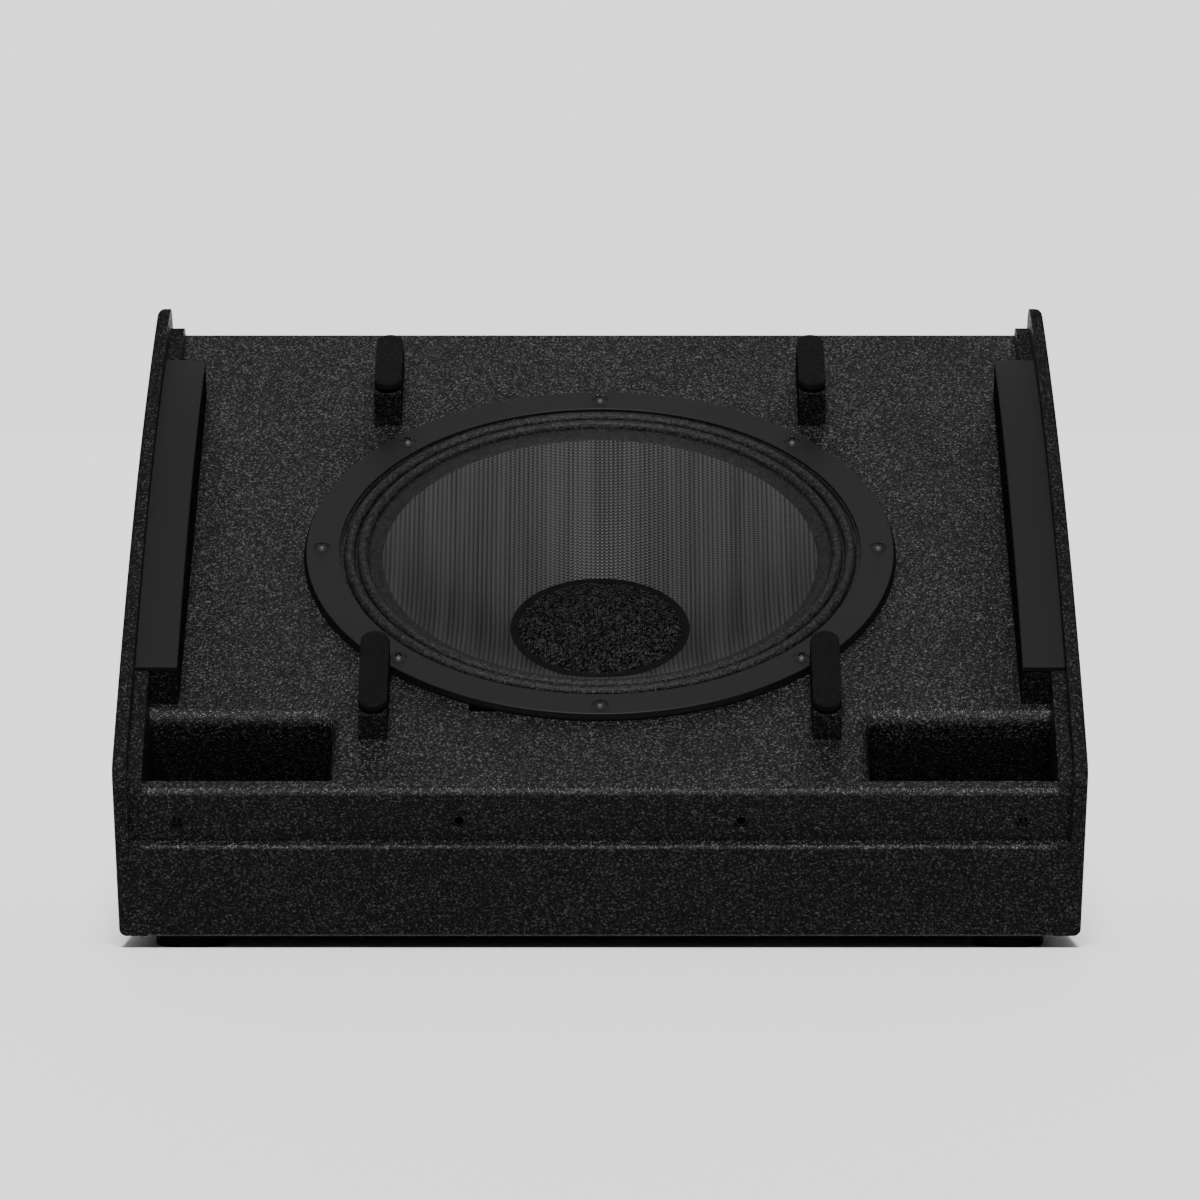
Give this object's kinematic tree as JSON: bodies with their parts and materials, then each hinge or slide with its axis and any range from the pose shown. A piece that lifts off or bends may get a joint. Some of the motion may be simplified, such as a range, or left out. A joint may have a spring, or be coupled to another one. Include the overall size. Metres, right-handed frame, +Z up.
{
  "type": "stage monitor wedge",
  "caption": "Sloped plywood floor loudspeaker with a large coaxial driver, corner ports and padded supports for a removed grille.",
  "frame": {"origin": "on the floor under the middle of the cabinet", "axes": "+X to the right as the listener sees the front, -Y towards the listener, +Z up"},
  "size_m": [0.617, 0.5368, 0.4129],
  "materials": {
    "textured_paint": "black textured paint over birch plywood",
    "raw_ply": "bare birch plywood",
    "grille_foam": "smooth closed cell foam tape",
    "foot_rubber": "matte moulded rubber",
    "zinc_steel": "zinc plated",
    "black_steel": "black oxide and powder coat",
    "driver_frame": "black painted casting",
    "trim_ring": "smooth matte",
    "gasket": "foam tape",
    "surround_cloth": "doped cloth",
    "spider_cloth": "resin treated cloth",
    "cone_paper": "woven face on paper",
    "cap_mesh": "open mesh",
    "former": "moulded",
    "coil_wire": "enamelled copper wire",
    "motor_steel": "plated steel",
    "ferrite": "sintered",
    "titanium": "thin pressed metal",
    "moulded_plastic": "black moulding",
    "circuit_board": "solder mask",
    "film_cans": "wrapped film",
    "lead_sleeve": "braided sleeve"
  },
  "bodies": {
    "cabinet": {"baffle_panel": "textured_paint", "basket": "driver_frame", "board_spacers": "moulded_plastic", "bottom_panel": "textured_paint", "capacitors": "film_cans", "cross_brace": "raw_ply", "crossover_board": "circuit_board", "driver_gasket": "gasket", "driver_screws": "black_steel", "driver_t_nuts": "zinc_steel", "driver_trim": "trim_ring", "foot_front_left": "foot_rubber", "foot_front_right": "foot_rubber", "foot_rear_left": "foot_rubber", "foot_rear_right": "foot_rubber", "foot_screws": "zinc_steel", "front_panel": "textured_paint", "grille_strip_left": "grille_foam", "grille_strip_right": "grille_foam", "grille_t_nuts": "black_steel", "handle_cup_left": "moulded_plastic", "handle_cup_right": "moulded_plastic", "handle_screws": "black_steel", "hf_cover": "driver_frame", "hf_horn": "former", "hf_magnet": "ferrite", "hf_phase_plug": "former", "inductors": "coil_wire", "input_plate": "black_steel", "magnet": "ferrite", "plate_screws": "black_steel", "port_duct_left": "textured_paint", "port_duct_right": "textured_paint", "post_block_lower_left": "textured_paint", "post_block_lower_right": "textured_paint", "post_block_upper_left": "textured_paint", "post_block_upper_right": "textured_paint", "post_pad_lower_left": "grille_foam", "post_pad_lower_right": "grille_foam", "post_pad_upper_left": "grille_foam", "post_pad_upper_right": "grille_foam", "rear_panel": "textured_paint", "rear_upper_panel": "textured_paint", "side_batten_left": "textured_paint", "side_batten_right": "textured_paint", "side_panel_left": "textured_paint", "side_panel_right": "textured_paint", "speaker_socket_left": "moulded_plastic", "speaker_socket_right": "moulded_plastic", "spider": "spider_cloth", "surround": "surround_cloth", "terminal_block": "moulded_plastic", "top_plate": "motor_steel", "wiring": "lead_sleeve", "yoke": "motor_steel"},
    "cone_assembly": {"cone": "cone_paper", "dust_cap": "cap_mesh", "coil_former": "former", "voice_coil": "coil_wire"},
    "hf_diaphragm_body": {"hf_diaphragm": "titanium"}
  },
  "joints": [
    {"name": "cone_travel", "type": "slide", "parent": "cabinet", "child": "cone_assembly", "axis": [0, -0.524, 0.8517], "range_m": [-0.006, 0.006], "stiffness_N_per_m": 6000, "deforming": ["surround", "spider"]},
    {"name": "hf_diaphragm_travel", "type": "slide", "parent": "cabinet", "child": "hf_diaphragm_body", "axis": [0, -0.524, 0.8517], "range_m": [-0.0003, 0.0003], "stiffness_N_per_m": 20000}
  ]
}
